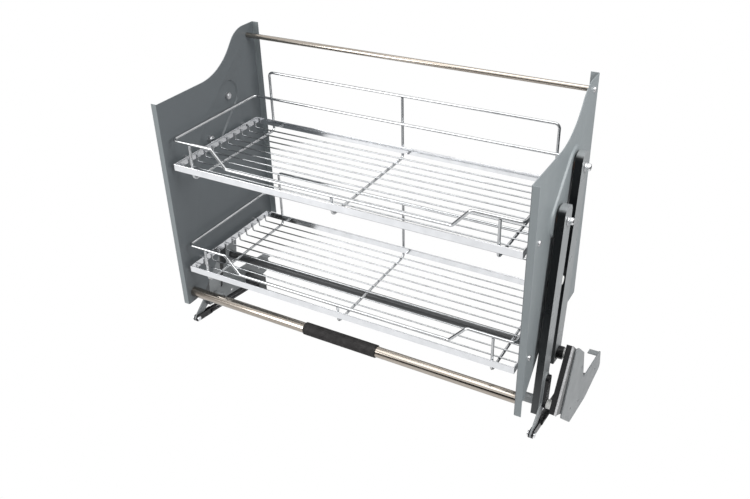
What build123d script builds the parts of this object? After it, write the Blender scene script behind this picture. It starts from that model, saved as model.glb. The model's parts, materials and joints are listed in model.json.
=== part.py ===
from build123d import *
from math import degrees, cos, radians, sin, sqrt, tau
import os

os.makedirs("parts", exist_ok=True)

# Driving sizes in millimetres: X to the right, Y to the back, Z up.
# The origin is midway between the panels, in their front plane and level with their lower edge.
width = 760.0              # over the two outer plates
side_room = 54.0           # from a panel's inner face to the outer plate's outer face
depth = 276.0              # of the panels
front_height = 400.0       # of the panels' front edge
shoulder_rise = 67.0       # from the front edge's top to the crown
raised_bottom = 67.0       # height of the cut-away rear bottom
shelf_tops = {"upper": 290.6, "lower": 83.5}

# Running and welding clearances
bore_clearance = 0.05      # radial, of a pin in its bore
open_clearance = 0.35      # radial, of the rear arms' upper bolts
weld_gap = 0.05            # between two welded wires
side_gap = 0.3             # between faces that slide past each other

# Panels of folded sheet
panel_sheet = 1.2
bend_radius = 1.0
front_flange = 12.0        # turned outward
rear_flange = 14.0         # turned inward
foot_length = 44.0
shoulder_start = 115.0
shoulder_slope = radians(50.0)
hollow_radius = 110.0
crown_radius = 50.0
boss_radius = 30.0
boss_rise = 3.0
boss_taper = 30.0
boss_wall = 0.6            # the recess is smaller than the boss by this
panel_x = width / 2 - side_room
panel_face = panel_x + panel_sheet
boss_face = panel_face + boss_rise
back_height = front_height + shoulder_rise

# Lift arms: one parallelogram on each side, leaning back at rest
front_pivot = (81.7, -29.0)
pivot_step = 61.5          # rear pivot from front pivot, along Y and along Z
arm_length = 323.6         # between an arm's pivots
lean = radians(7.0)
arm_depth = 34.0
arm_width = 12.0
arm_wall = 1.5
arm_top = 23.5             # past the upper pivot
arm_tail = 16.0            # past the lower pivot
arm_corner = 13.0
rear_pivot = (front_pivot[0] + pivot_step, front_pivot[1] + pivot_step)
arm_along = (sin(lean), cos(lean))
upper_front = tuple(p + arm_length * a for p, a in zip(front_pivot, arm_along))
upper_rear = (upper_front[0] + pivot_step, upper_front[1] + pivot_step)
washer_thick = 1.5
spacer_thick = 3.0         # between a panel's boss and its arms
arm_in = boss_face + spacer_thick + side_gap
arm_out = arm_in + arm_width

# Lever, boss plate and collar on the arms' outer faces
lever_thick = 3.0
lever_boss_thick = 5.0
lever_reach = 46.0         # up the arm from its lower pivot
lever_radius = 11.0
elbow = (35.0, -60.4)      # pin of the spring strut
elbow_radius = 6.5
boss_plate_radius = 8.5
collar_radius = 11.0
lever_out = arm_out + lever_thick
boss_plate_out = lever_out + lever_boss_thick
collar_out = arm_out + 10.0

# Brackets that are screwed to the cabinet's sides
plate_thick = 2.0
channel_wide = 12.0
channel_wall = 2.0
plate_in = width / 2 - plate_thick
channel_in = plate_in - channel_wide
pin_radius = 4.95
pin_head_radius = 8.0
pin_head_thick = 3.0
pin_reach = 16.0           # past the arm's inner face
bush_radius = 8.0
sleeve_radius = 8.2
sleeve_length = 20.0
sync_radius = 7.5
sync_wall = 1.5
screw_hole = 2.75
mount_holes = ((181.0, -14.0), (181.0, -90.0), (279.0, -90.0), (134.0, -71.0))

# Spring struts
aim = (238.0, -88.0)       # where a strut's middle line crosses the anchor block
anchor = (238.0, -97.5)    # middle of the anchor block
anchor_size = (18.0, 38.0)
anchor_reach = 10.0        # from the strut's middle to the block's inner end
slot_wide = 8.0
slot_tall = 30.6
link_radius = 3.0
link_head_radius = 4.5
link_head_thick = 2.4
ear_radius = 6.5
ear_thick = 2.2
ear_gap = 0.2
web_start = 18.0           # of the web between the fork's ears
web_height = 9.0
fork_end = 46.0
ferrule_start = 38.0
ferrule_end = 50.0
ferrule_radius = 6.5
rod_radius = 3.5
rod_length = 222.0         # from the elbow
coil_radius = 5.6
coil_wire = 0.95           # radius of the spring wire
coil_turns = 24
strut_x = arm_out + lever_thick / 2

# Wire shelves
bar_thick = 2.0
bar_height = 12.5
shelf_inset = 7.6          # from a panel's inner face to the side bar
shelf_front = 9.8
shelf_back = 249.4
corner_radius = 4.0
thin_wire = 1.4            # radius
thick_wire = 2.35          # radius
rail_wire = 2.5            # radius
wire_drop = 19.0           # shelf top to the thin wires' middle
wire_count = 11
wire_first = 25.2
wire_last = 239.9
wire_hook = 6.0            # below the shelf top, where the turned-up ends stop
wire_bend = 5.0
cross_spread = 280.0
cross_bend = 8.0
rail_rise = 43.2           # guard rail above the shelf top
dip_rise = 10.9            # lowered front of the guard rail above the shelf top
dip_outer = 235.0
dip_inner = 206.0
rail_bend = 8.0
back_rise = 93.0           # back rail above the shelf top
shelf_x = panel_x - shelf_inset
wire_x = shelf_x - bar_thick - thin_wire - weld_gap
rail_x = shelf_x - rail_wire
post_y = shelf_front + bar_thick + weld_gap + thick_wire
upright_y = shelf_back + weld_gap + thick_wire
rail_back_y = upright_y - thick_wire - weld_gap - rail_wire

# Rod, handle and small fastenings
rod_axis = (255.4, 447.1)
top_rod_radius = 4.5
handle_axis = (17.5, 19.8)
handle_radius = 9.5
handle_wall = 1.2
handle_plug = 14.0
grip_radius = 11.35
grip_length = 146.0
screw_radius = 2.4
screw_depth = 12.0
shelf_screw_rows = (49.8, 215.0)
shelf_screw_drop = 5.0
bolt_radius = 4.0
bolt_head_radius = 5.75
bolt_head_height = 7.0
bolt_washer_radius = 7.5
nut_radius = 6.5
nut_height = 6.0


def save(piece, name):
    """Label a finished piece and write it as its own file."""
    piece.part.label = name
    export_step(piece.part, f"parts/{name}.step")


def save_pair(piece, name):
    """Write the right-hand piece and its mirror image on the left."""
    save(piece, f"right_{name}")
    with BuildPart() as left:
        mirror(piece.part, about=Plane.YZ)
    save(left, f"left_{name}")


def ring(places, start, end, outer, inner):
    """Make rings, or discs where inner is 0, at the places, from one X to another."""
    with BuildPart() as rings:
        with BuildSketch(Plane.YZ.offset(start)):
            with Locations(*places):
                Circle(outer)
                if inner > 0:
                    Circle(inner, mode=Mode.SUBTRACT)
        extrude(amount=end - start)
    return rings


def screws_on_panels(places, shank_length):
    """Make socket screws on both panels, with their heads on the outer faces."""
    with BuildPart() as screws:
        with BuildSketch(Plane.YZ.offset(panel_face)):
            with Locations(*places):
                Circle(screw_radius * 2)
        extrude(amount=screw_radius, taper=20)
        with BuildSketch(Plane.YZ.offset(panel_face + screw_radius)):
            with Locations(*places):
                RegularPolygon(screw_radius * 0.6, 6)
        extrude(amount=-screw_radius / 2, mode=Mode.SUBTRACT)
        with BuildSketch(Plane.YZ.offset(panel_face)):
            with Locations(*places):
                Circle(screw_radius)
        extrude(amount=-shank_length)
        mirror(about=Plane.YZ)
    return screws


# The two side panels, each one folded sheet with a pressed boss around the arms' upper pivots
hollow_end = (
    shoulder_start + hollow_radius * sin(shoulder_slope),
    front_height + hollow_radius * (1 - cos(shoulder_slope)),
)
curved_rise = (hollow_radius + crown_radius) * (1 - cos(shoulder_slope))
straight_length = (shoulder_rise - curved_rise) / sin(shoulder_slope)
crown_start = (
    hollow_end[0] + straight_length * cos(shoulder_slope),
    hollow_end[1] + straight_length * sin(shoulder_slope),
)
crown_end = (crown_start[0] + crown_radius * sin(shoulder_slope), back_height)
boss_middle = ((upper_front[0] + upper_rear[0]) / 2, (upper_front[1] + upper_rear[1]) / 2)
shelf_screw_places = [(y, top - shelf_screw_drop) for top in shelf_tops.values() for y in shelf_screw_rows]

with BuildPart() as panel:
    with BuildSketch(Plane.XY) as section:
        with BuildLine():
            Polyline(
                (panel_x, 0),
                (panel_x, depth - panel_sheet),
                (panel_face - rear_flange, depth - panel_sheet),
                (panel_face - rear_flange, depth),
                (panel_face, depth),
                (panel_face, panel_sheet),
                (panel_x + front_flange, panel_sheet),
                (panel_x + front_flange, 0),
                close=True,
            )
        make_face()
        outer_bends = [(panel_x, 0), (panel_face, depth)]
        inner_bends = [(panel_face, panel_sheet), (panel_x, depth - panel_sheet)]
        for corner in outer_bends:
            fillet(section.vertices().sort_by_distance(corner)[0], radius=bend_radius + panel_sheet)
        for corner in inner_bends:
            fillet(section.vertices().sort_by_distance(corner)[0], radius=bend_radius)
    extrude(amount=back_height)
    with BuildSketch(Plane.YZ.offset(panel_x - rear_flange)):
        with BuildLine():
            Polyline(
                crown_end,
                (depth, back_height),
                (depth, raised_bottom),
                (foot_length + raised_bottom, raised_bottom),
                (foot_length, 0),
                (0, 0),
                (0, front_height),
                (shoulder_start, front_height),
            )
            TangentArc((shoulder_start, front_height), hollow_end, tangent=(1, 0))
            Line(hollow_end, crown_start)
            TangentArc(crown_start, crown_end, tangent=(cos(shoulder_slope), sin(shoulder_slope)))
        make_face()
    extrude(amount=2 * rear_flange + front_flange, mode=Mode.INTERSECT)
    with BuildSketch(Plane.YZ.offset(panel_face)):
        with Locations(boss_middle):
            SlotCenterToCenter(pivot_step * sqrt(2), 2 * boss_radius, rotation=45)
    extrude(amount=boss_rise, taper=boss_taper)
    with BuildSketch(Plane.YZ.offset(panel_x)):
        with Locations(boss_middle):
            SlotCenterToCenter(pivot_step * sqrt(2), 2 * (boss_radius - boss_wall), rotation=45)
    extrude(amount=boss_rise, taper=boss_taper, mode=Mode.SUBTRACT)
    with BuildSketch(Plane.YZ.offset(panel_x)):
        with Locations(upper_front, upper_rear):
            Circle(bolt_radius + bore_clearance)
        with Locations(rod_axis, handle_axis, *shelf_screw_places):
            Circle(screw_radius + bore_clearance)
    extrude(amount=boss_face - panel_x, mode=Mode.SUBTRACT)
save_pair(panel, "side_panel")

# Top rod and handle between the panels
with BuildPart() as top_rod:
    with BuildSketch(Plane.YZ.offset(-panel_x)):
        with Locations(rod_axis):
            Circle(top_rod_radius)
    extrude(amount=2 * panel_x)
    for end, direction in ((panel_x, -1), (-panel_x, 1)):
        with BuildSketch(Plane.YZ.offset(end)):
            with Locations(rod_axis):
                Circle(screw_radius + bore_clearance)
        extrude(amount=direction * screw_depth, mode=Mode.SUBTRACT)
save(top_rod, "top_rod")

with BuildPart() as handle_tube:
    with BuildSketch(Plane.YZ.offset(-panel_x)):
        with Locations(handle_axis):
            Circle(handle_radius)
    extrude(amount=2 * panel_x)
    with BuildSketch(Plane.YZ.offset(handle_plug - panel_x)):
        with Locations(handle_axis):
            Circle(handle_radius - handle_wall)
    extrude(amount=2 * (panel_x - handle_plug), mode=Mode.SUBTRACT)
    with BuildSketch(Plane.YZ.offset(-panel_x)):
        with Locations(handle_axis):
            Circle(screw_radius + bore_clearance)
    extrude(amount=2 * panel_x, mode=Mode.SUBTRACT)
save(handle_tube, "handle_tube")

with BuildPart() as handle_grip:
    with BuildSketch(Plane.YZ.offset(-grip_length / 2)):
        with Locations(handle_axis):
            Circle(grip_radius)
            Circle(handle_radius + bore_clearance, mode=Mode.SUBTRACT)
    extrude(amount=grip_length)
    ends = handle_grip.faces().filter_by(Axis.X)
    fillet(ends.edges().filter_by(GeomType.CIRCLE).group_by(SortBy.RADIUS)[-1], radius=1.2)
save(handle_grip, "handle_grip")

save(screws_on_panels([rod_axis], screw_depth), "rod_screws")
save(screws_on_panels([handle_axis], screw_depth), "handle_screws")

# Screws and spacers that carry the shelves' side bars
bar_in = shelf_x - bar_thick
save(screws_on_panels(shelf_screw_places, panel_face - bar_in), "shelf_screws")

with BuildPart() as shelf_spacers:
    with BuildSketch(Plane.YZ.offset(shelf_x)):
        with Locations(*shelf_screw_places):
            Circle(screw_radius * 1.8)
            Circle(screw_radius + bore_clearance, mode=Mode.SUBTRACT)
    extrude(amount=shelf_inset)
    mirror(about=Plane.YZ)
save(shelf_spacers, "shelf_spacers")


def bent_wires(routes, radius, bend):
    """Make a group of bent wires, each swept along its own route."""
    with BuildPart() as wires:
        for route in routes:
            with BuildLine() as path:
                FilletPolyline(*route, radius=bend)
            with BuildSketch(Plane(origin=path.wire() @ 0, z_dir=path.wire() % 0)):
                Circle(radius)
            sweep()
    return wires


# Two shelves alike: a bar frame, thin wires, three cross wires, a guard rail and a back rail
for level, top in shelf_tops.items():
    with BuildPart() as frame:
        with BuildSketch(Plane.XY.offset(top - bar_height)):
            with Locations((0, (shelf_front + shelf_back) / 2)):
                RectangleRounded(2 * shelf_x, shelf_back - shelf_front, corner_radius)
                RectangleRounded(
                    2 * bar_in,
                    shelf_back - shelf_front - 2 * bar_thick,
                    corner_radius - bar_thick,
                    mode=Mode.SUBTRACT,
                )
        extrude(amount=bar_height)
        with BuildSketch(Plane.YZ.offset(-shelf_x)):
            with Locations(*[(y, top - shelf_screw_drop) for y in shelf_screw_rows]):
                Circle(screw_radius + bore_clearance)
        extrude(amount=2 * shelf_x, mode=Mode.SUBTRACT)
    save(frame, f"{level}_shelf_frame")

    wire_z = top - wire_drop
    wire_step = (wire_last - wire_first) / (wire_count - 1)
    thin_routes = []
    for row in range(wire_count):
        y = wire_first + row * wire_step
        thin_routes.append([
            (-wire_x, y, top - wire_hook),
            (-wire_x, y, wire_z),
            (wire_x, y, wire_z),
            (wire_x, y, top - wire_hook),
        ])
    save(bent_wires(thin_routes, thin_wire, wire_bend), f"{level}_shelf_wires")

    cross_z = wire_z - thin_wire - weld_gap - thick_wire
    back_z = top + back_rise
    rail_z = top + rail_rise
    dip_z = top + dip_rise
    joint_z = top + bar_height
    cross_routes = []
    for x in (-cross_spread, 0, cross_spread):
        rail_above = rail_z if x else dip_z
        upright_top = joint_z if x else back_z - thick_wire - weld_gap
        cross_routes.append([
            (x, post_y, rail_above - rail_wire - weld_gap),
            (x, post_y, cross_z),
            (x, upright_y, cross_z),
            (x, upright_y, upright_top),
        ])
    save(bent_wires(cross_routes, thick_wire, cross_bend), f"{level}_cross_wires")

    back_route = [
        (-cross_spread, upright_y, joint_z),
        (-cross_spread, upright_y, back_z),
        (cross_spread, upright_y, back_z),
        (cross_spread, upright_y, joint_z),
    ]
    save(bent_wires([back_route], thick_wire, cross_bend), f"{level}_back_rail")

    rail_routes = []
    for side in (-1, 1):
        rail_routes.append([
            (0, rail_back_y, rail_z),
            (side * rail_x, rail_back_y, rail_z),
            (side * rail_x, post_y, rail_z),
            (side * dip_outer, post_y, rail_z),
            (side * dip_inner, post_y, dip_z),
            (0, post_y, dip_z),
        ])
    save(bent_wires(rail_routes, rail_wire, rail_bend), f"{level}_guard_rail")


def lift_arm(pivot, upper_bore):
    """Make one closed box arm with a tube welded in at each pivot."""
    foot = Plane(origin=(arm_in, *pivot), x_dir=(0, arm_along[1], -arm_along[0]), z_dir=(1, 0, 0))
    whole = arm_tail + arm_length + arm_top
    middle = (arm_length + arm_top - arm_tail) / 2
    with BuildPart() as arm:
        with BuildSketch(foot) as outline:
            with Locations((0, middle)):
                Rectangle(arm_depth, whole)
            fillet(outline.vertices().group_by(Axis.Y)[-1], radius=arm_corner)
            fillet(outline.vertices().group_by(Axis.Y)[0], radius=1.0)
        extrude(amount=arm_width)
        with BuildSketch(foot.offset(arm_wall)) as hollow:
            with Locations((0, middle)):
                Rectangle(arm_depth - 2 * arm_wall, whole - 2 * arm_wall)
            fillet(hollow.vertices().group_by(Axis.Y)[-1], radius=arm_corner - arm_wall)
        extrude(amount=arm_width - 2 * arm_wall, mode=Mode.SUBTRACT)
        with BuildSketch(foot):
            with Locations((0, 0), (0, arm_length)):
                Circle(pin_radius + 3)
        extrude(amount=arm_width)
        with BuildSketch(foot):
            Circle(pin_radius + bore_clearance)
            with Locations((0, arm_length)):
                Circle(upper_bore)
        extrude(amount=arm_width, mode=Mode.SUBTRACT)
    return arm


save_pair(lift_arm(front_pivot, bolt_radius + bore_clearance), "front_arm")
save_pair(lift_arm(rear_pivot, bolt_radius + open_clearance), "rear_arm")

# Lever plate on the front arm, down to the spring strut's pin
lever_top = tuple(p + lever_reach * a for p, a in zip(front_pivot, arm_along))
lever_middle = ((front_pivot[0] + lever_top[0]) / 2, (front_pivot[1] + lever_top[1]) / 2)
with BuildPart() as lever:
    with BuildSketch(Plane.YZ.offset(arm_out)):
        with Locations(front_pivot):
            Circle(lever_radius)
        with Locations(elbow):
            Circle(elbow_radius)
        make_hull()
        with Locations(lever_middle):
            SlotCenterToCenter(lever_reach, 2 * lever_radius, rotation=90 - degrees(lean))
        with Locations(front_pivot):
            Circle(pin_radius + bore_clearance, mode=Mode.SUBTRACT)
        with Locations(elbow):
            Circle(link_radius + bore_clearance, mode=Mode.SUBTRACT)
    extrude(amount=lever_thick)
save_pair(lever, "lever")

with BuildPart() as lever_boss:
    with BuildSketch(Plane.YZ.offset(lever_out)):
        with Locations(lever_middle):
            SlotCenterToCenter(lever_reach, 2 * boss_plate_radius, rotation=90 - degrees(lean))
        with Locations(front_pivot):
            Circle(pin_radius + bore_clearance, mode=Mode.SUBTRACT)
    extrude(amount=lever_boss_thick)
save_pair(lever_boss, "lever_boss")

running_bore = pin_radius + bore_clearance
save_pair(ring([rear_pivot], arm_out, collar_out, collar_radius, running_bore), "collar")
save_pair(ring([front_pivot], arm_in - sleeve_length, arm_in, sleeve_radius, running_bore), "stop_sleeve")
save(ring([rear_pivot], -arm_in, arm_in, sync_radius, sync_radius - sync_wall), "sync_tube")

# Link pin in the lever, with a head at each end outside the fork's ears
ear_in = lever_thick / 2 + ear_gap
ear_out = ear_in + ear_thick
with BuildPart() as link_pin:
    with BuildSketch(Plane.YZ.offset(strut_x - ear_out - side_gap)):
        with Locations(elbow):
            Circle(link_radius)
    extrude(amount=2 * (ear_out + side_gap))
    for direction in (-1, 1):
        with BuildSketch(Plane.YZ.offset(strut_x + direction * (ear_out + side_gap))):
            with Locations(elbow):
                Circle(link_head_radius)
        extrude(amount=direction * link_head_thick)
save_pair(link_pin, "link_pin")

# Bolts, washers, spacers and nuts of the arms' upper pivots
upper_pivots = (upper_front, upper_rear)
washer_start = arm_out + side_gap
head_start = washer_start + washer_thick
with BuildPart() as pivot_bolts:
    with BuildSketch(Plane.YZ.offset(head_start)):
        with Locations(*upper_pivots):
            Circle(bolt_head_radius)
    extrude(amount=bolt_head_height)
    with BuildSketch(Plane.YZ.offset(head_start + bolt_head_height)):
        with Locations(*upper_pivots):
            RegularPolygon(bolt_head_radius * 0.5, 6)
    extrude(amount=-bolt_head_height / 2, mode=Mode.SUBTRACT)
    with BuildSketch(Plane.YZ.offset(head_start)):
        with Locations(*upper_pivots):
            Circle(bolt_radius)
    extrude(amount=panel_x + boss_rise - nut_height - 1 - head_start)
    mirror(about=Plane.YZ)
save(pivot_bolts, "pivot_bolts")

with BuildPart() as pivot_washers:
    washers = ((washer_start, bolt_washer_radius, washer_thick), (boss_face, bolt_washer_radius + 1.5, spacer_thick))
    for start, radius, thick in washers:
        with BuildSketch(Plane.YZ.offset(start)):
            with Locations(*upper_pivots):
                Circle(radius)
                Circle(bolt_radius + bore_clearance, mode=Mode.SUBTRACT)
        extrude(amount=thick)
    mirror(about=Plane.YZ)
save(pivot_washers, "pivot_washers")

with BuildPart() as pivot_nuts:
    with BuildSketch(Plane.YZ.offset(panel_x + boss_rise)):
        with Locations(*upper_pivots):
            RegularPolygon(nut_radius, 6)
            Circle(bolt_radius + bore_clearance, mode=Mode.SUBTRACT)
    extrude(amount=-nut_height)
    mirror(about=Plane.YZ)
save(pivot_nuts, "pivot_nuts")

# Outer plate, flat on the cabinet's side, with a tab turned inward on its tail
plate_outline = [
    (80.6, -49.3),
    (131.0, 57.5),
    (146.0, 50.0),
    (183.5, 15.7),
    (199.0, -52.1),
    (308.4, -67.0),
    (318.6, -109.6),
    (228.5, -118.9),
    (138.7, -104.9),
]
plate_corners = (8.0, 6.0, 12.0, 12.0, 6.0, 8.0, 8.0, 60.0, 12.0)
tab_start = 288.0
tab_end = 303.0
tab_reach = 17.0
tail_slope = (-67.0 + 52.1) / (308.4 - 199.0)


def tail_top(y):
    """Height of the tail's upper edge at a given depth."""
    return -52.1 + tail_slope * (y - 199.0)


with BuildPart() as outer_plate:
    with BuildSketch(Plane.YZ.offset(plate_in)) as outline:
        with BuildLine():
            Polyline(*plate_outline, close=True)
        make_face()
        for corner, radius in zip(plate_outline, plate_corners):
            fillet(outline.vertices().sort_by_distance(corner)[0], radius=radius)
        with Locations(*mount_holes):
            Circle(screw_hole, mode=Mode.SUBTRACT)
    extrude(amount=plate_thick)
    with BuildSketch(Plane.YZ.offset(plate_in + plate_thick)):
        with BuildLine():
            Polyline(
                (tab_start, tail_top(tab_start)),
                (tab_end, tail_top(tab_end)),
                (tab_end, tail_top(tab_end) - plate_thick),
                (tab_start, tail_top(tab_start) - plate_thick),
                close=True,
            )
        make_face()
    extrude(amount=-(tab_reach + plate_thick))
save_pair(outer_plate, "outer_plate")

# Channel that carries the arms' lower pins
channel_low = (54.0, -23.5)
channel_high = (117.5, 72.0)
channel_run = sqrt(sum((h - l) ** 2 for h, l in zip(channel_high, channel_low)))
channel_along = tuple((h - l) / channel_run for h, l in zip(channel_high, channel_low))
channel_back = (channel_along[1], -channel_along[0])
inner_web = [channel_low, channel_high, (150.0, 47.0), (162.0, 28.0), (140.0, -52.0), (95.0, -62.0)]
outer_web = [channel_low, channel_high, (146.0, 44.0), (104.0, -48.0), (86.0, -44.0)]


def beside_channel(point, distance):
    """Move a point away from the channel's front line."""
    return tuple(p + distance * b for p, b in zip(point, channel_back))


with BuildPart() as channel:
    for start, web in ((channel_in, inner_web), (plate_in - channel_wall, outer_web)):
        with BuildSketch(Plane.YZ.offset(start)):
            with BuildLine():
                Polyline(*web, close=True)
            make_face()
        extrude(amount=channel_wall)
    with BuildSketch(Plane.YZ.offset(channel_in)):
        with BuildLine():
            Polyline(
                channel_low,
                channel_high,
                beside_channel(channel_high, channel_wall),
                beside_channel(channel_low, channel_wall),
                close=True,
            )
        make_face()
    extrude(amount=channel_wide)
    with BuildSketch(Plane.YZ.offset(channel_in)):
        with Locations(front_pivot, rear_pivot):
            Circle(pin_radius + bore_clearance)
    extrude(amount=channel_wall, mode=Mode.SUBTRACT)
save_pair(channel, "channel")

trim_thick = 1.2
trim_wide = 3.5
with BuildPart() as edge_trim:
    with BuildSketch(Plane.YZ.offset(plate_in - trim_wide + 0.5)):
        with BuildLine():
            Polyline(
                channel_low,
                channel_high,
                beside_channel(channel_high, -trim_thick),
                beside_channel(channel_low, -trim_thick),
                close=True,
            )
        make_face()
    extrude(amount=trim_wide)
save_pair(edge_trim, "edge_trim")

lower_pivots = (front_pivot, rear_pivot)
with BuildPart() as pivot_bushes:
    for place, start in ((front_pivot, boss_plate_out + side_gap), (rear_pivot, collar_out + side_gap)):
        with BuildSketch(Plane.YZ.offset(start)):
            with Locations(place):
                Circle(bush_radius)
                Circle(running_bore, mode=Mode.SUBTRACT)
        extrude(amount=channel_in - start)
save_pair(pivot_bushes, "pivot_bushes")

with BuildPart() as pivot_pins:
    with BuildSketch(Plane.YZ.offset(arm_in - pin_reach)):
        with Locations(*lower_pivots):
            Circle(pin_radius)
    extrude(amount=channel_in + channel_wall - arm_in + pin_reach)
    with BuildSketch(Plane.YZ.offset(channel_in + channel_wall)):
        with Locations(front_pivot):
            Circle(pin_radius)
        with Locations(rear_pivot):
            Circle(pin_head_radius)
    extrude(amount=pin_head_thick)
save_pair(pivot_pins, "pivot_pins")

# Anchor block on the plate's tail, slotted for the strut's rod
block_in = strut_x - anchor_reach
with BuildPart() as anchor_block:
    with BuildSketch(Plane.YZ.offset(block_in)):
        with Locations(anchor):
            Rectangle(*anchor_size)
    extrude(amount=plate_in - block_in)
    with BuildSketch(Plane.XZ.offset(-anchor[0])):
        with Locations((strut_x, anchor[1])):
            SlotOverall(slot_tall, slot_wide, rotation=90)
    extrude(amount=anchor_size[0], both=True, mode=Mode.SUBTRACT)
save_pair(anchor_block, "anchor_block")

# Spring strut, from the lever's pin back through the anchor block
strut_run = sqrt((aim[0] - elbow[0]) ** 2 + (aim[1] - elbow[1]) ** 2)
strut_back = ((aim[0] - elbow[0]) / strut_run, (aim[1] - elbow[1]) / strut_run)


def strut_side(x):
    """Plane across X at the elbow: local x runs back along the strut, local y upward."""
    return Plane(origin=(x, *elbow), x_dir=(0, *strut_back), z_dir=(1, 0, 0))


def strut_end(x, distance):
    """Plane across the strut, at a distance behind the elbow."""
    y, z = (e + distance * b for e, b in zip(elbow, strut_back))
    return Plane(origin=(x, y, z), x_dir=(1, 0, 0), z_dir=(0, *strut_back))


with BuildPart() as strut_fork:
    for start in (strut_x - ear_out, strut_x + ear_in):
        with BuildSketch(strut_side(start)):
            with Locations(((fork_end - ear_radius) / 2, 0)):
                SlotCenterToCenter(fork_end - ear_radius, 2 * ear_radius)
            Circle(link_radius + bore_clearance, mode=Mode.SUBTRACT)
        extrude(amount=ear_thick)
    with BuildSketch(strut_side(strut_x - ear_out)):
        with Locations(((web_start + ferrule_start) / 2, 0)):
            Rectangle(ferrule_start - web_start, web_height)
    extrude(amount=2 * ear_out)
    with BuildSketch(strut_end(strut_x, ferrule_start)):
        Circle(ferrule_radius)
    extrude(amount=ferrule_end - ferrule_start)
save_pair(strut_fork, "strut_fork")

with BuildPart() as guide_rod:
    with BuildSketch(strut_end(strut_x, ferrule_end)):
        Circle(rod_radius)
    extrude(amount=rod_length - ferrule_end)
save_pair(guide_rod, "guide_rod")

# Coil spring on the guide rod, from the fork's ferrule to the anchor block
block_face = (anchor[0] - anchor_size[0] / 2 - elbow[0]) / strut_back[0]
tilt_room = (coil_radius + coil_wire) * abs(strut_back[1])
coil_start = ferrule_end + 2 * coil_wire + weld_gap
coil_end = block_face - tilt_room - 2 * coil_wire - weld_gap
coil_pitch = (coil_end - coil_start) / coil_turns


def coil_point(x, turn):
    """Point on the coil's middle line and its direction there, after so many turns."""
    angle = tau * turn
    up = Vector(0, -strut_back[1], strut_back[0])
    across = Vector(1, 0, 0)
    along = Vector(0, *strut_back)
    reach = coil_start + coil_pitch * turn
    point = Vector(x, *elbow) + along * reach + across * (coil_radius * cos(angle)) + up * (coil_radius * sin(angle))
    run = across * (-coil_radius * sin(angle)) + up * (coil_radius * cos(angle)) + along * (coil_pitch / tau)
    return point, run.normalized()


def half_turn(start, start_run, end, end_run):
    """Draw half a turn as two arcs that meet in one direction."""
    chord = end - start
    both = start_run + end_run
    square = 4 - both.dot(both)
    linear = 2 * chord.dot(both)
    reach = (-linear + sqrt(linear ** 2 + 4 * square * chord.dot(chord))) / (2 * square)
    first = start + start_run * reach
    last = end - end_run * reach
    middle = (first + last) * 0.5
    TangentArc(start, middle, tangent=start_run)
    TangentArc(middle, end, tangent=last - first)


with BuildPart() as spring:
    for x in (strut_x,):
        with BuildLine() as path:
            first_point, first_run = coil_point(x, 0)
            Line(first_point - first_run * (2 * coil_wire), first_point)
            for half in range(2 * coil_turns):
                half_turn(*coil_point(x, half / 2), *coil_point(x, (half + 1) / 2))
            last_point, last_run = coil_point(x, coil_turns)
            Line(last_point, last_point + last_run * (2 * coil_wire))
        with BuildSketch(Plane(origin=path.wire() @ 0, z_dir=path.wire() % 0)):
            Circle(coil_wire)
        sweep()
save_pair(spring, "spring")

steps_per_turn = 24
coil_points = [coil_point(0, step / steps_per_turn)[0] for step in range(3 * steps_per_turn)]
least = min(
    (near - far).length
    for place, near in enumerate(coil_points)
    for far in coil_points[place + steps_per_turn // 2:]
)
print(f"least gap between the spring's turns: {least - 2 * coil_wire:.2f} mm")
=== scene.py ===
import bpy
import bmesh
import json
from math import cos, pi, radians, sin, sqrt, tau
from mathutils import Matrix, Vector, noise

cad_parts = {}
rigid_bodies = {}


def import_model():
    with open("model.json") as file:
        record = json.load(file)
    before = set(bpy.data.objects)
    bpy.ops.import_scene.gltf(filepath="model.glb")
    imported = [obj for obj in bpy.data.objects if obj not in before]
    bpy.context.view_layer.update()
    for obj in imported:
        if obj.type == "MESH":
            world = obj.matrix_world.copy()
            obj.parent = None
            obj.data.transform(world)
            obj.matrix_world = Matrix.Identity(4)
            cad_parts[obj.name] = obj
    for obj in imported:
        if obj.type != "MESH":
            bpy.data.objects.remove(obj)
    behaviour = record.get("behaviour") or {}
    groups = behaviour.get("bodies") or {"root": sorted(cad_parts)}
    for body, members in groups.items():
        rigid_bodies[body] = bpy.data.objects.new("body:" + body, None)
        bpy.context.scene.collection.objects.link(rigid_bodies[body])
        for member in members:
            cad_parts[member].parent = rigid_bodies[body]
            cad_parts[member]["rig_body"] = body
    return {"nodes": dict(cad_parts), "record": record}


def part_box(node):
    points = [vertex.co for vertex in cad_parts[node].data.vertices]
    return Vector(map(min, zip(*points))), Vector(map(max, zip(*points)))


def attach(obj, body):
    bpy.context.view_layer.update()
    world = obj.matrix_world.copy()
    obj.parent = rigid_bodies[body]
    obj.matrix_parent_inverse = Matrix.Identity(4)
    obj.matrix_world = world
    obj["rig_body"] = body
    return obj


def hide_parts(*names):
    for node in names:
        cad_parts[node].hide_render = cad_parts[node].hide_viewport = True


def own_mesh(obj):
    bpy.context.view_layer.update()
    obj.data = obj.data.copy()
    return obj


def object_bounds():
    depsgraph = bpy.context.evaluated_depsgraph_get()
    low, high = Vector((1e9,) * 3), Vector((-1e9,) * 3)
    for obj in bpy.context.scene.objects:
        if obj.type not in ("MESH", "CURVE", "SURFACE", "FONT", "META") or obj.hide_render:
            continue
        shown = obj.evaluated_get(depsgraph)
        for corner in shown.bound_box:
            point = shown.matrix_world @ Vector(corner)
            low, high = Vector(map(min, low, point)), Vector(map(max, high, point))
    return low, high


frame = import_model()
nodes = frame["nodes"]
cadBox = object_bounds()


def mm(*values):
    return Vector([value / 1000 for value in values])


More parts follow.
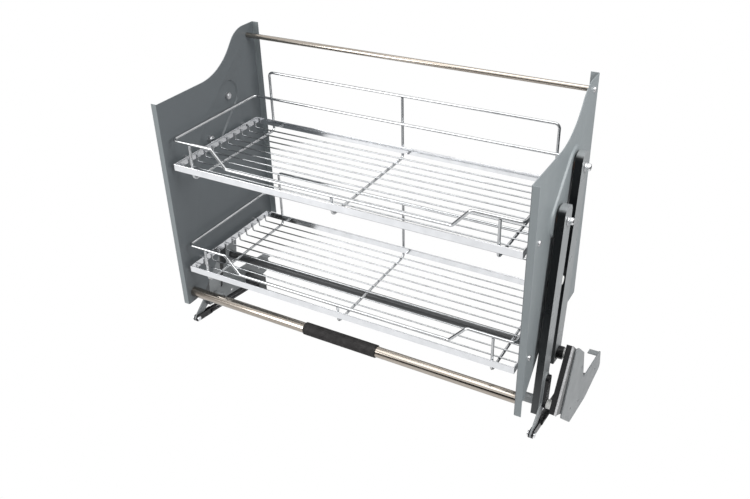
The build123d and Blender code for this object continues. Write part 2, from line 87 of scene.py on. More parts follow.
# Camera, fitted to the straight edges of the photographed object
camera = {
    "place": (0.6467, -0.9596, 0.9071),
    "looks": (-0.43265, 0.73846, -0.51719),
    "right": (0.87000, 0.49243, -0.02467),
    "lens": 40.48,
    "sensor": 36.0,
    "sees": (0.01, 50),  # nearest and furthest, in metres
}


def makeCamera():
    data = bpy.data.cameras.new("camera")
    data.lens = camera["lens"]
    data.sensor_width = camera["sensor"]
    data.clip_start, data.clip_end = camera["sees"]
    looks = Vector(camera["looks"]).normalized()
    right = Vector(camera["right"])
    right = (right - looks * right.dot(looks)).normalized()
    up = right.cross(looks)
    turn = Matrix((right, up, -looks)).transposed().to_4x4()
    view = bpy.data.objects.new("camera", data)
    view.matrix_world = Matrix.Translation(camera["place"]) @ turn
    bpy.context.scene.collection.objects.link(view)
    bpy.context.scene.camera = view


makeCamera()
bpy.context.scene.view_settings.view_transform = "Standard"
print("camera placed")


# Shader maths written as expressions on sockets
class Value:
    def __init__(self, shader, socket):
        self.shader = shader
        self.socket = socket

    def math(self, operation, *others):
        return self.shader.node("ShaderNodeMath", {"operation": operation}, dict(enumerate((self, *others))))

    def __add__(self, other):
        return self.math("ADD", other)

    def __radd__(self, other):
        return self.math("ADD", other)

    def __mul__(self, other):
        return self.math("MULTIPLY", other)

    def __rmul__(self, other):
        return self.math("MULTIPLY", other)


class Shader:
    def __init__(self, owner, surface="Principled BSDF"):
        # owner is a material or the world
        owner.use_nodes = True
        self.owner = owner
        self.tree = owner.node_tree
        self.surface = self.tree.nodes[surface]

    def node(self, kind, settings=None, inputs=None, output=0):
        made = self.tree.nodes.new(kind)
        for key, value in (settings or {}).items():
            setattr(made, key, value)
        for key, value in (inputs or {}).items():
            self.feed(made.inputs[key], value)
        return Value(self, made.outputs[output])

    def feed(self, socket, value):
        if isinstance(value, Value):
            value = value.socket
        if isinstance(value, bpy.types.NodeSocket):
            self.tree.links.new(value, socket)
        else:
            socket.default_value = value

    def set(self, **values):
        for key, value in values.items():
            self.feed(self.surface.inputs[key.replace("_", " ")], value)

    def place(self, stretch=(1, 1, 1)):
        where = self.node("ShaderNodeTexCoord", output="Object")
        return self.node("ShaderNodeMapping", {}, {"Vector": where, "Scale": stretch})

    def axis(self, coordinate, letter):
        where = self.node("ShaderNodeTexCoord", output=coordinate)
        return self.node("ShaderNodeSeparateXYZ", {}, {"Vector": where}, output=letter)

    def cloud(self, scale, detail=3.0, stretch=(1, 1, 1)):
        inputs = {"Vector": self.place(stretch), "Scale": scale, "Detail": detail}
        return self.node("ShaderNodeTexNoise", {}, inputs)

    def span(self, value, low=0.0, high=1.0, start=0.3, stop=0.7):
        # start and stop are where most of a noise texture's values lie
        inputs = {"Value": value, "From Min": start, "From Max": stop, "To Min": low, "To Max": high}
        return self.node("ShaderNodeMapRange", {}, inputs)

    def blend(self, factor, first, second):
        # sockets 6 and 7 are the two colours of a Mix node, and output 2 is its colour
        colours = [colour if isinstance(colour, Value) else (*colour, 1) for colour in (first, second)]
        inputs = {0: factor, 6: colours[0], 7: colours[1]}
        return self.node("ShaderNodeMix", {"data_type": "RGBA"}, inputs, output=2)

    def bump(self, height, strength, distance):
        inputs = {"Height": height, "Strength": strength, "Distance": distance}
        self.set(Normal=self.node("ShaderNodeBump", {}, inputs))

    def show(self, rays, shown, end):
        # the rays given see shown in place of the surface
        mixed = self.node("ShaderNodeMixShader", {}, {0: rays, 1: self.surface.outputs[0], 2: shown})
        self.feed(self.tree.nodes[end].inputs[0], mixed)


def newFinish(name):
    return Shader(bpy.data.materials.new(name))


# Paint has broad patches, a fine speckle and a slight ripple
paintGrain = {
    "patches": 9.0, "speckle": 1400.0, "ripple": 260.0, "uneven": 40.0,
    "patchShare": 0.65, "speckleShare": 0.35, "speckleHeight": 0.6, "rippleHeight": 0.4,
    "smoother": 0.04, "rougher": 0.05, "depth": 0.0003,
}
# painted shade: the panel faces turned inward, towards the shelves, are painted darker
panelPaintedShade = {"paintedShadeFaces": -0.1}  # metres from the middle times how far the face looks outward
# painted dark reflection: the arms' front faces are painted near-black, most of all near the top
armPaintedReflection = {"startsFacing": -0.55, "facesFront": -0.85, "low": -0.04, "high": 0.16, "lowShare": 0.78}


def newPaint(name, light, dark, rough, gloss, relief, speckled=True):
    paint = newFinish(name)
    shade = paint.span(paint.cloud(paintGrain["patches"], 2.0))
    speckle = paint.cloud(paintGrain["speckle"], 2.0)
    if speckled:
        shade = shade * paintGrain["patchShare"] + paint.span(speckle, 0.0, paintGrain["speckleShare"])
    uneven = paint.cloud(paintGrain["uneven"])
    paint.set(Roughness=paint.span(uneven, rough - paintGrain["smoother"], rough + paintGrain["rougher"]))
    paint.set(Metallic=0.0, Specular_IOR_Level=gloss)
    ripple = paint.cloud(paintGrain["ripple"], 2.0)
    height = speckle * paintGrain["speckleHeight"] + ripple * paintGrain["rippleHeight"]
    paint.bump(height, strength=relief, distance=paintGrain["depth"])
    return paint, paint.blend(shade, light, dark)


def powderPaint(name, light, dark, rough):
    paint, colour = newPaint(name, light, dark, rough, gloss=0.5, relief=0.12)
    paint.set(Base_Color=colour)
    return paint.owner


def panelEnamelWithShade(name, light, dark, inside, rough):
    # the faces turned to the shelves are painted darker: painted shade for the shade the shelves cast
    paint, colour = newPaint(name, light, dark, rough, gloss=0.45, relief=0.12)
    outward = paint.axis("Object", "X") * paint.axis("Normal", "X")
    paintedShadeFaces = outward.math("LESS_THAN", panelPaintedShade["paintedShadeFaces"])
    paint.set(Base_Color=paint.blend(paintedShadeFaces, colour, inside))
    return paint.owner


def armEnamelWithDarkReflection(name, light, dark, front, rough):
    # front faces take a painted dark reflection: they are painted darker, most of all near the top
    paint, colour = newPaint(name, light, dark, rough, gloss=0.3, relief=0.10, speckled=False)
    ahead = paint.axis("Normal", "Y")
    paintedReflection = paint.span(ahead, start=armPaintedReflection["startsFacing"], stop=armPaintedReflection["facesFront"])
    height = paint.axis("Object", "Z")
    rise = paint.span(height, armPaintedReflection["lowShare"], start=armPaintedReflection["low"], stop=armPaintedReflection["high"])
    paint.set(Base_Color=paint.blend(paintedReflection * rise, colour, front))
    return paint.owner


def brightChrome(name, light, dark, rough):
    chrome = newFinish(name)
    haze = chrome.cloud(60.0)
    chrome.set(Base_Color=chrome.blend(chrome.span(haze), light, dark))
    chrome.set(Roughness=chrome.span(haze, rough, rough + 0.04), Metallic=1.0)
    chrome.bump(chrome.cloud(240.0, 2.0), strength=0.008, distance=0.0002)
    return chrome.owner


def washerSet(name, steel, fibre, split):
    # steel outside, brown fibre on the rings next to the panels
    ring = newFinish(name)
    outer = ring.axis("Object", "X").math("ABSOLUTE").math("GREATER_THAN", split)
    ring.set(Base_Color=ring.blend(outer, fibre, steel), Metallic=outer)
    ring.set(Roughness=ring.span(ring.cloud(300.0), 0.25, 0.40))
    ring.bump(ring.cloud(900.0, 2.0), strength=0.05, distance=0.0002)
    return ring.owner


def drawnSteel(name, light, dark, rough):
    steel = newFinish(name)
    grain = steel.cloud(420.0, stretch=(0.02, 1, 1))
    steel.set(Base_Color=steel.blend(steel.span(grain), light, dark))
    steel.set(Roughness=steel.span(grain, rough, rough + 0.10), Metallic=1.0)
    steel.bump(grain, strength=0.05, distance=0.0002)
    return steel.owner


def blackEnamel(name, light, dark, rough):
    enamel = newFinish(name)
    wear = enamel.span(enamel.cloud(35.0, 4.0))
    enamel.set(Base_Color=enamel.blend(wear, light, dark))
    enamel.set(Roughness=enamel.span(enamel.cloud(80.0), rough - 0.05, rough + 0.07))
    enamel.set(Metallic=0.0, Specular_IOR_Level=0.35, Coat_Weight=0.12, Coat_Roughness=0.12)
    enamel.bump(enamel.cloud(700.0, 2.0), strength=0.06, distance=0.0002)
    return enamel.owner


def whitePlastic(name, light, dark):
    plastic = newFinish(name)
    mould = plastic.cloud(180.0)
    plastic.set(Base_Color=plastic.blend(plastic.span(mould), light, dark))
    plastic.set(Roughness=plastic.span(mould, 0.32, 0.45), Specular_IOR_Level=0.5)
    plastic.bump(plastic.cloud(900.0, 2.0), strength=0.08, distance=0.0002)
    return plastic.owner


def gripFoam(name, light, dark):
    foam = newFinish(name)
    cells = foam.node("ShaderNodeTexVoronoi", {}, {"Vector": foam.place(), "Scale": 1500.0})
    soft = foam.cloud(120.0, 4.0)
    foam.set(Base_Color=foam.blend(foam.span(soft), light, dark))
    foam.set(Roughness=foam.span(soft, 0.62, 0.80), Specular_IOR_Level=0.35)
    foam.bump(cells * 0.7 + soft * 0.5, strength=0.18, distance=0.0003)
    return foam.owner


finishes = {}


def addFinish(name, slot, maker, *look):
    finishes[name] = maker(name, *look)


def makeFinishes():
    # the panels' third colour is painted shade for their inner faces
    addFinish(
        "panelPaintAndShade", "panel_paint", panelEnamelWithShade,
        (0.232, 0.256, 0.264), (0.205, 0.229, 0.238), (0.108, 0.121, 0.129), 0.40,
    )
    addFinish("armPaint", "arm_paint", powderPaint, (0.236, 0.250, 0.254), (0.205, 0.218, 0.224), 0.36)
    # the arms' third colour is a painted dark reflection for their front faces
    addFinish(
        "armEnamelWithDarkReflection", "arm_paint", armEnamelWithDarkReflection,
        (0.27, 0.283, 0.288), (0.22, 0.233, 0.238), (0.006, 0.007, 0.008), 0.30,
    )
    addFinish("darkPaint", "dark_paint", powderPaint, (0.042, 0.044, 0.046), (0.028, 0.030, 0.032), 0.36)
    addFinish("blackEnamel", "black_enamel", blackEnamel, (0.007, 0.007, 0.008), (0.004, 0.004, 0.005), 0.24)
    addFinish("springSteel", "black_enamel", blackEnamel, (0.040, 0.040, 0.042), (0.020, 0.020, 0.022), 0.34)
    addFinish("chrome", "chrome_plate", brightChrome, (0.88, 0.89, 0.90), (0.80, 0.81, 0.83), 0.06)
    # wireChrome and railChrome are darker copies of the chrome: painted shade so the thin wires and rails read
    # dark
    addFinish("wireChrome", "chrome_plate", brightChrome, (0.46, 0.47, 0.48), (0.34, 0.35, 0.36), 0.08)
    addFinish("railChrome", "chrome_plate", brightChrome, (0.60, 0.61, 0.62), (0.46, 0.47, 0.48), 0.05)
    addFinish("washerSet", "bright_steel", washerSet, (0.70, 0.70, 0.71), (0.22, 0.11, 0.06), 0.3365)
    addFinish("barChrome", "chrome_plate", brightChrome, (0.86, 0.87, 0.89), (0.78, 0.79, 0.81), 0.10)
    addFinish("handleSteel", "bright_steel", drawnSteel, (0.52, 0.48, 0.43), (0.38, 0.33, 0.28), 0.12)
    addFinish("zinc", "bright_steel", drawnSteel, (0.74, 0.74, 0.75), (0.60, 0.60, 0.61), 0.24)
    addFinish("whitePlastic", "white_plastic", whitePlastic, (0.86, 0.86, 0.84), (0.78, 0.78, 0.75))
    addFinish("gripFoam", "foam", gripFoam, (0.022, 0.020, 0.020), (0.012, 0.011, 0.011))


makeFinishes()
print("finishes made:", len(finishes))


def bodyOf(node):
    return nodes[node]["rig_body"]


def addPiece(name, mesh, body, finish, replaced=()):
    piece = bpy.data.objects.new(name, mesh)
    bpy.context.scene.collection.objects.link(piece)
    mesh.materials.clear()
    mesh.materials.append(finishes[finish])
    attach(piece, body)
    if replaced:
        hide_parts(*replaced)
    return piece


def smooth(mesh, angle):
    mesh.shade_smooth()
    mesh.set_sharp_from_angle(angle=radians(angle))


def finalMesh(piece):
    # the mesh with its modifiers worked in, so nothing is left to change at a pose
    bpy.context.view_layer.update()
    seen = piece.evaluated_get(bpy.context.evaluated_depsgraph_get())
    return bpy.data.meshes.new_from_object(seen)


# Folded, cut and turned pieces keep their CAD shape and get their edges broken
brokenEdges = {
    "together": 0.01,  # corners nearer than this, in millimetres, are one
    "flat": 0.6,  # faces that turn less than this, in degrees, are one
    "sharp": 40,
    "segments": 2,
    # width of the broken edge in millimetres, and finish
    "paired": {
        "side_panel": (0.30, "panelPaintAndShade"), "front_arm": (0.60, "armEnamelWithDarkReflection"), "rear_arm": (0.60, "armEnamelWithDarkReflection"),
        "lever": (0.45, "armPaint"), "lever_boss": (0.50, "blackEnamel"), "collar": (0.60, "blackEnamel"),
        "stop_sleeve": (0.50, "armPaint"), "link_pin": (0.30, "chrome"), "outer_plate": (0.40, "armPaint"),
        # edge_trim is a bright zinc strip along the black channel's front bend: a painted highlight in place
        # of the gleam on that bend
        "channel": (0.35, "blackEnamel"), "edge_trim": (0.20, "zinc"), "anchor_block": (0.70, "darkPaint"),
        "pivot_bushes": (0.60, "whitePlastic"), "pivot_pins": (0.50, "zinc"),
        "strut_fork": (0.35, "blackEnamel"), "guide_rod": (0.40, "chrome"),
    },
    "single": {
        "sync_tube": (0.40, "darkPaint"), "shelf_screws": (0.25, "zinc"), "rod_screws": (0.25, "zinc"),
        "handle_screws": (0.25, "zinc"), "shelf_spacers": (0.25, "zinc"), "pivot_nuts": (0.40, "zinc"),
        "pivot_washers": (0.25, "washerSet"),
    },
}


def breakEdges(node, width, finish):
    mesh = nodes[node].data.copy()
    shape = bmesh.new()
    shape.from_mesh(mesh)
    bmesh.ops.remove_doubles(shape, verts=shape.verts, dist=brokenEdges["together"] / 1000)
    flat = radians(brokenEdges["flat"])
    bmesh.ops.dissolve_limit(shape, angle_limit=flat, verts=shape.verts, edges=shape.edges)
    shape.to_mesh(mesh)
    shape.free()
    smooth(mesh, brokenEdges["sharp"])
    piece = bpy.data.objects.new("raw", mesh)
    bpy.context.scene.collection.objects.link(piece)
    bevel = piece.modifiers.new("edges", "BEVEL")
    bevel.width = width / 1000
    bevel.segments = brokenEdges["segments"]
    bevel.limit_method = "ANGLE"
    bevel.angle_limit = radians(brokenEdges["sharp"])
    bevel.use_clamp_overlap = True
    bevel.harden_normals = True
    final = finalMesh(piece)
    bpy.data.objects.remove(piece)
    addPiece(node + ".fine", final, bodyOf(node), finish, [node])


def breakAllEdges():
    for part, (width, finish) in brokenEdges["paired"].items():
        for side in ("left", "right"):
            breakEdges(f"{side}_{part}", width, finish)
    for node, (width, finish) in brokenEdges["single"].items():
        breakEdges(node, width, finish)


breakAllEdges()
print("edges broken")


# Round pieces are rings of points with a skin over them
roundSharp = 50  # degrees, above which an edge of a round piece is shown sharp


def ringAroundX(shape, x, y, z, radii):
    # one point for each radius, turning from Y towards Z
    ring = []
    for step, radius in enumerate(radii):
        angle = tau * step / len(radii)
        ring.append(shape.verts.new((x, y + radius * cos(angle), z + radius * sin(angle))))
    return ring


def closeSkin(shape, rings):
    for ring, after in zip(rings, rings[1:]):
        for step in range(len(ring)):
            shape.faces.new((ring[step - 1], ring[step], after[step], after[step - 1]))
    shape.faces.new(rings[0][::-1])
    shape.faces.new(rings[-1])


def finishedMesh(shape, name, sharp):
    bmesh.ops.recalc_face_normals(shape, faces=shape.faces)
    mesh = bpy.data.meshes.new(name)
    shape.to_mesh(mesh)
    shape.free()
    smooth(mesh, sharp)
    return mesh


# Round bars and tubes, turned about an axis along X
def turned(profile, y, z, sides):
    # profile is a list of (x, radius)
    shape = bmesh.new()
    rings = [ringAroundX(shape, x, y, z, [radius] * sides) for x, radius in profile]
    closeSkin(shape, rings[::-1])  # the direction sets along which diagonal the long faces split
    return finishedMesh(shape, "turned", roundSharp)


def roundedEnds(half, radius, edge):
    # a bar's profile, its ends rounded through one middle point
    part = edge * 0.3
    profile = [(-half, radius - edge), (-half + part, radius - part), (-half + edge, radius)]
    return profile + [(-x, r) for x, r in profile[::-1]]


def middleAndSize(node):
    low, high = (Vector(corner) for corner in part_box(node))
    return (low + high) / 2, high - low


roundBars = {
    "edge": 0.0006, "sides": 64,
    "gripEdge": 0.0016, "gripWaves": 0.00008, "gripWaveRate": 160, "gripWaveRow": (3.1, 0.7),
    "gripSteps": 90, "gripSides": 72,
}


def makeRoundBars():
    for node in ("top_rod", "handle_tube"):
        middle, size = middleAndSize(node)
        profile = roundedEnds(size.x / 2, size.z / 2, roundBars["edge"])
        mesh = turned(profile, middle.y, middle.z, roundBars["sides"])
        addPiece(node + ".fine", mesh, bodyOf(node), "handleSteel", [node])


def makeGrip():
    middle, size = middleAndSize("handle_grip")
    radius, half = size.z / 2, size.x / 2
    edge, steps = roundBars["gripEdge"], roundBars["gripSteps"]
    rate, row = roundBars["gripWaveRate"], roundBars["gripWaveRow"]
    profile = []
    for step in range(steps + 1):
        x = -half + size.x * step / steps
        end = max(0.0, 1 - (half - abs(x)) / edge)
        wave = roundBars["gripWaves"] * noise.noise((x * rate, *row))
        profile.append((x, radius - edge * (1 - sqrt(max(0.0, 1 - end * end))) + wave))
    mesh = turned(profile, middle.y, middle.z, roundBars["gripSides"])
    addPiece("handle_grip.foam", mesh, bodyOf("handle_grip"), "gripFoam", ["handle_grip"])


makeRoundBars()
makeGrip()
print("rod, handle and grip made")


# Each shelf: a flat band, thin wires, cross wires, a back rail and a guard rail, in millimetres
band = {"thick": 2.0, "edge": 0.45, "segments": 3, "sharp": 12}
wires = {
    "thin": 1.3, "thick": 2.35, "rail": 2.5,
    "thinBend": 2.4, "bend": 8.0, "bendSteps": 8, "thinSides": 16, "sides": 24,
    "count": 11, "first": 25.2, "last": 239.9, "drop": 19.0, "hook": 6.0,
    "spread": 280.0, "railRise": 43.2, "dipRise": 10.9, "dipOuter": 235.0, "dipInner": 206.0,
    "backRise": 93.0, "legs": 4.0, "weld": 0.05,
}


# Bent wires: straight runs joined by arcs, swept with a round section
def bentPath(points, bend):
    path = [points[0]]
    for before, corner, after in zip(points, points[1:], points[2:]):
        back = (before - corner).normalized()
        ahead = (after - corner).normalized()
        half = back.angle(ahead) / 2
        reach = bend / (sin(half) / cos(half))
        start = corner + back * reach
        centre = corner + (back + ahead).normalized() * (bend / sin(half))
        first = start - centre
        last = corner + ahead * reach - centre
        turn = first.angle(last)
        for step in range(wires["bendSteps"] + 1):
            share = step / wires["bendSteps"]
            arm = (first * sin((1 - share) * turn) + last * sin(share * turn)) / sin(turn)
            path.append(centre + arm)
    path.append(points[-1])
    return path


def tubeMesh(paths, radius, sides):
    shape = bmesh.new()
    for path in paths:
        side = (path[1] - path[0]).normalized().orthogonal().normalized()
        rings = []
        for place, point in enumerate(path):
            before = path[max(place - 1, 0)]
            after = path[min(place + 1, len(path) - 1)]
            run = (after - before).normalized()
            side = (side - run * side.dot(run)).normalized()
            across = run.cross(side)
            angles = [tau * step / sides for step in range(sides)]
            rings.append([shape.verts.new(point + radius * (cos(a) * side + sin(a) * across)) for a in angles])
        closeSkin(shape, rings)
    return finishedMesh(shape, "tube", roundSharp)


def addWires(node, routes, radius, finish, bend, sides):
    paths = [bentPath(route, bend / 1000) for route in routes]
    addPiece(node + ".fine", tubeMesh(paths, radius / 1000, sides), bodyOf(node), finish, [node])


def addRails(node, routes, radius):
    addWires(node, routes, radius, "railChrome", wires["bend"], wires["sides"])


def shelfCorners(level):
    low, high = (Vector(corner) * 1000 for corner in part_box(f"{level}_shelf_frame"))
    return low, high


def makeShelfBand(level):
    # the flat band round a shelf, with nearly sharp corners
    low, high = shelfCorners(level)
    shape = bmesh.new()
    loops = []
    for inset, z in ((0, low.z), (0, high.z), (band["thick"], high.z), (band["thick"], low.z)):
        near, far = low.y + inset, high.y - inset
        left, right = low.x + inset, high.x - inset
        corners = ((left, near), (right, near), (right, far), (left, far))
        loops.append([shape.verts.new(mm(x, y, z)) for x, y in corners])
    for first, second in zip(loops, loops[1:] + loops[:1]):
        for corner in range(4):
            shape.faces.new((first[corner - 1], first[corner], second[corner], second[corner - 1]))
    edge, segments = band["edge"] / 1000, band["segments"]
    bmesh.ops.bevel(
        shape, geom=shape.edges[:], offset=edge, segments=segments, profile=0.5, affect="EDGES",
    )
    mesh = finishedMesh(shape, "band", band["sharp"])
    addPiece(f"{level}_shelf_frame.fine", mesh, "basket", "barChrome", [f"{level}_shelf_frame"])


def makeShelfWires(level):
    low, high = shelfCorners(level)
    top = high.z
    thinX = high.x - band["thick"] - wires["thin"] - wires["weld"]
    wireZ = top - wires["drop"]
    hookZ = top - wires["hook"]
    apart = (wires["last"] - wires["first"]) / (wires["count"] - 1)
    routes = []
    for row in range(wires["count"]):
        y = wires["first"] + row * apart
        routes.append([mm(-thinX, y, hookZ), mm(-thinX, y, wireZ), mm(thinX, y, wireZ), mm(thinX, y, hookZ)])
    node = f"{level}_shelf_wires"
    addWires(node, routes, wires["thin"], "wireChrome", wires["thinBend"], wires["thinSides"])

    postY = low.y + band["thick"] + wires["weld"] + wires["thick"]
    uprightY = high.y + wires["weld"] + wires["thick"]
    crossZ = wireZ - wires["thin"] - wires["weld"] - wires["thick"]
    backZ = top + wires["backRise"]
    legZ = backZ - wires["bend"] - wires["legs"]
    railZ = top + wires["railRise"]
    dipZ = top + wires["dipRise"]
    spread = wires["spread"]
    routes = []
    for x in (-spread, 0, spread):
        postTop = (railZ if x else dipZ) - wires["rail"] - wires["weld"]
        upright = legZ if x else backZ - wires["thick"] - wires["weld"]
        route = ((postY, postTop), (postY, crossZ), (uprightY, crossZ), (uprightY, upright))
        routes.append([mm(x, y, z) for y, z in route])
    addRails(f"{level}_cross_wires", routes, wires["thick"])

    route = ((-spread, legZ), (-spread, backZ), (spread, backZ), (spread, legZ))
    addRails(f"{level}_back_rail", [[mm(x, uprightY, z) for x, z in route]], wires["thick"])

    railX = high.x - wires["rail"]
    railBackY = uprightY - wires["thick"] - wires["weld"] - wires["rail"]
    routes = []
    for side in (-1, 1):
        route = (
            (0, railBackY, railZ), (railX, railBackY, railZ), (railX, postY, railZ),
            (wires["dipOuter"], postY, railZ), (wires["dipInner"], postY, dipZ), (0, postY, dipZ),
        )
        routes.append([mm(side * x, y, z) for x, y, z in route])
    addRails(f"{level}_guard_rail", routes, wires["rail"])


for level in ("upper", "lower"):
    makeShelfBand(level)
    makeShelfWires(level)
print("shelf wires made")


# Coil spring on each strut's guide rod; closed is the share of each end whose turns lie together
spring = {
    "turns": 46, "wire": 0.85, "radius": 5.65, "steps": 24, "sides": 8,
    "start": 50.0, "startGap": 0.05, "endGap": 1.25, "closed": 0.02, "keep": 0.42,
}
strut = {"elbow": (35.0, -60.4), "aim": (238.0, -88.0), "blockFront": 229.0, "middle": 347.0}


def makeSprings():
    elbow = Vector(strut["elbow"])
    run = Vector(strut["aim"]) - elbow
    along = mm(0, run.x, run.y).normalized()
    up = Vector((0, -along.z, along.y))
    start = spring["start"] + spring["wire"] + spring["startGap"]
    end = (strut["blockFront"] - elbow.x) / along.y - spring["wire"] - spring["endGap"]
    total = spring["turns"] * spring["steps"]
    for side, sign in (("left", -1), ("right", 1)):
        middle = mm(sign * strut["middle"], *elbow)
        path = []
        for step in range(total + 1):
            angle = tau * step / spring["steps"]
            share = (step / total - spring["closed"]) / (1 - 2 * spring["closed"])
            share = min(max(share, 0.0), 1.0)
            across = Vector((sign, 0, 0)) * cos(angle) + up * sin(angle)
            reach = start + (end - start) * share
            path.append(middle + along * reach / 1000 + across * spring["radius"] / 1000)
        mesh = tubeMesh([path], spring["wire"] / 1000, spring["sides"])
        piece = addPiece(f"{side}_spring.fine", mesh, f"{side}_strut", "springSteel", [f"{side}_spring"])
        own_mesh(piece)


makeSprings()
print("springs made")


# Socket bolts of the upper pivots, with knurled heads, in millimetres
bolt = {
    "radius": 5.75, "height": 7.0, "sharp": 30,
    "under": (0.5, -0.4),  # length and change of radius of the chamfer under the head
    "crown": ((1.6, 0.0), (1.2, -0.25), (0.35, -0.55), (0.0, -1.0)),  # depth and change of radius
    "knurls": 30, "knurlPoints": 4, "knurlDepth": 0.16,
    "socket": 2.9, "socketDepth": 3.4,
    "shank": 4.0, "shankLength": 25.3, "shankSides": 32,
}


def headRadii(change, around):
    # grooves are cut only where the head is straight
    radii = []
    for step in range(around):
        grooved = change == 0 and step % bolt["knurlPoints"] < bolt["knurlPoints"] / 2
        radii.append(bolt["radius"] + change - (bolt["knurlDepth"] if grooved else 0))
    return radii


def socketRadii(around):
    # a hexagon, its corners at the socket's radius
    radii = []
    for step in range(around):
        corner = (tau * step / around) % (tau / 6) - tau / 12
        radii.append(bolt["socket"] * cos(pi / 6) / cos(corner))
    return radii


def addBolt(shape, sign, y, z, outside):
    inside = outside - bolt["height"]
    around = bolt["knurls"] * bolt["knurlPoints"]
    chamfer, change = bolt["under"]
    levels = [(inside, change), (inside + chamfer, 0.0)]
    levels += [(outside - depth, change) for depth, change in bolt["crown"]]
    sections = [(x, headRadii(change, around)) for x, change in levels]
    sections += [(outside - depth, socketRadii(around)) for depth in (0.0, bolt["socketDepth"])]
    shank = [bolt["shank"]] * bolt["shankSides"]
    for parts in (sections, [(inside, shank), (inside - bolt["shankLength"], shank)]):
        rings = []
        for x, radii in parts:
            radii = [radius / 1000 for radius in radii]
            rings.append(ringAroundX(shape, sign * x / 1000, y / 1000, z / 1000, radii))
        closeSkin(shape, rings)


def makeBolts():
    low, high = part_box("pivot_bolts")
    outside = high[0] * 1000
    front, bottom = (value * 1000 + bolt["radius"] for value in low[1:])
    back, top = (value * 1000 - bolt["radius"] for value in high[1:])
    shape = bmesh.new()
    for sign in (-1, 1):
        addBolt(shape, sign, front, bottom, outside)
        addBolt(shape, sign, back, top, outside)
    mesh = finishedMesh(shape, "bolts", bolt["sharp"])
    addPiece("pivot_bolts.fine", mesh, bodyOf("pivot_bolts"), "chrome", ["pivot_bolts"])


makeBolts()
print("bolts made")


# Small white buffers on the back of the front arms, in millimetres
buffer = {"radius": 7.5, "wide": 10.0, "middle": 339.5, "place": (131.6, 179.6), "edge": 0.9, "sides": 48}


def makeBuffers():
    profile = roundedEnds(buffer["wide"] / 2, buffer["radius"], buffer["edge"])
    y, z = (value / 1000 for value in buffer["place"])
    for side, sign in (("left", -1), ("right", 1)):
        placed = [((sign * buffer["middle"] + x) / 1000, r / 1000) for x, r in profile]
        addPiece(f"{side}_arm_buffer", turned(placed, y, z, buffer["sides"]), "front_arms", "whitePlastic")


makeBuffers()
print("buffers made")


# Any CAD node that still shows takes its finish from its slot
slotFinish = {
    "panel_paint": "panelPaintAndShade", "arm_paint": "armPaint", "dark_paint": "darkPaint",
    "black_enamel": "blackEnamel", "chrome_plate": "chrome", "bright_steel": "zinc",
    "white_plastic": "whitePlastic", "foam": "gripFoam",
}
for subpart in frame["record"]["subparts"]:
    shown = nodes[subpart["node"]]
    if not shown.hide_render:
        shown.data.materials.clear()
        shown.data.materials.append(finishes[slotFinish[subpart["material_slot"]]])

# Studio: a white floor and surround, large soft lamps and four dark flags that draw lines in the chrome
studio = {
    "floorDrop": 0.55,
    "floorSize": 14.0,
    "floorShade": 0.80,
    "worldLight": 0.36,
    "worldShade": (0.97, 0.98, 1.0, 1),
    "flagShade": 0.01,
    "lamps": {
        "above": {"place": (0.2, -0.3, 2.6), "size": (2.6, 2.0), "power": 42.0},
        "right": {"place": (1.25, -0.1, 1.05), "size": (0.7, 0.7), "power": 15.0},
        "left": {"place": (-1.6, -2.2, 1.1), "size": (1.4, 1.8), "power": 44.0},
    },
    "flags": {
        "frontFlag": {"place": (0.3, -2.4, 0.35), "size": (3.6, 1.3)},
        "rightFlag": {"place": (2.5, 0.6, 0.55), "size": (1.9, 1.2)},
        "leftFlag": {"place": (-2.5, -0.3, 0.45), "size": (2.2, 1.3)},
        "backFlag": {"place": (-0.4, 2.6, 0.55), "size": (3.4, 1.1)},
    },
    "target": (0.0, 0.12, 0.18),
}


def facingTarget(place):
    away = Vector(place) - Vector(studio["target"])
    return Matrix.Translation(place) @ away.to_track_quat("Z", "Y").to_matrix().to_4x4()


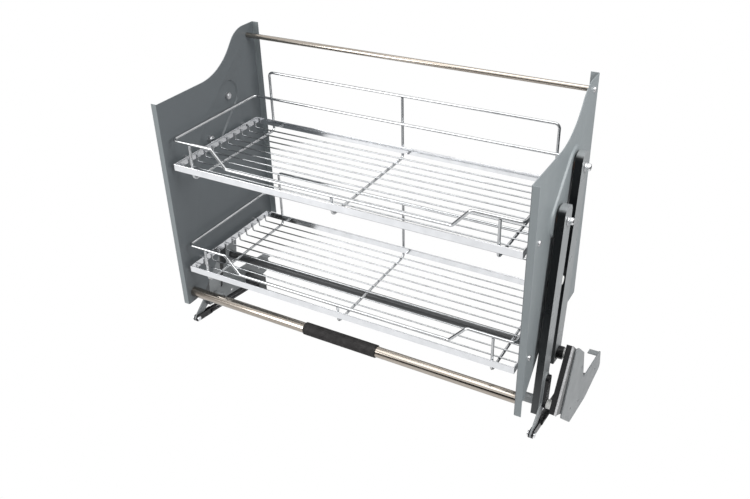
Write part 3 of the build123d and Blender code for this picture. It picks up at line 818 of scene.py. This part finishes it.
def addPlane(name, size, matrix, shader):
    wide, tall = (side / 2 for side in size)
    mesh = bpy.data.meshes.new(name)
    corners = [(-wide, -tall, 0), (wide, -tall, 0), (wide, tall, 0), (-wide, tall, 0)]
    mesh.from_pydata(corners, [], [(0, 1, 2, 3)])
    mesh.materials.append(shader.owner)
    plane = bpy.data.objects.new(name, mesh)
    plane.matrix_world = matrix
    bpy.context.scene.collection.objects.link(plane)
    return plane


def makeWorld():
    # white where the camera or a reflection sees it, and a plain soft light for the rest
    world = bpy.data.worlds.new("studio")
    bpy.context.scene.world = world
    sky = Shader(world, "Background")
    sky.set(Color=studio["worldShade"], Strength=studio["worldLight"])
    white = sky.node("ShaderNodeBackground", {}, {"Color": (1, 1, 1, 1), "Strength": 1.0})
    seen = sky.node("ShaderNodeLightPath", output="Is Camera Ray")
    mirrored = sky.node("ShaderNodeLightPath", output="Is Glossy Ray")
    sky.show(seen.math("MAXIMUM", mirrored), white, "World Output")


def makeFloor():
    floor = newFinish("floorWhite")
    floor.set(Base_Color=(*[studio["floorShade"]] * 3, 1), Roughness=0.9, Specular_IOR_Level=0.1)
    glow = floor.node("ShaderNodeEmission", {}, {"Strength": 1.0})
    floor.show(floor.node("ShaderNodeLightPath", output="Is Camera Ray"), glow, "Material Output")
    low = cadBox[0][2] - studio["floorDrop"]
    addPlane("floor", (studio["floorSize"], studio["floorSize"]), Matrix.Translation((0, 0, low)), floor)


def makeLamps():
    for name, lamp in studio["lamps"].items():
        data = bpy.data.lights.new(name, "AREA")
        data.shape = "RECTANGLE"
        data.size, data.size_y = lamp["size"]
        data.energy = lamp["power"]
        light = bpy.data.objects.new(name, data)
        light.matrix_world = facingTarget(lamp["place"])
        bpy.context.scene.collection.objects.link(light)


def makeFlags():
    black = newFinish("flagBlack")
    black.set(Base_Color=(*[studio["flagShade"]] * 3, 1), Roughness=1.0, Specular_IOR_Level=0.0)
    for name, flag in studio["flags"].items():
        card = addPlane(name, flag["size"], facingTarget(flag["place"]), black)
        card.visible_camera = False
        card.visible_diffuse = False
        card.visible_shadow = False


makeWorld()
makeFloor()
makeLamps()
makeFlags()
print("studio made")
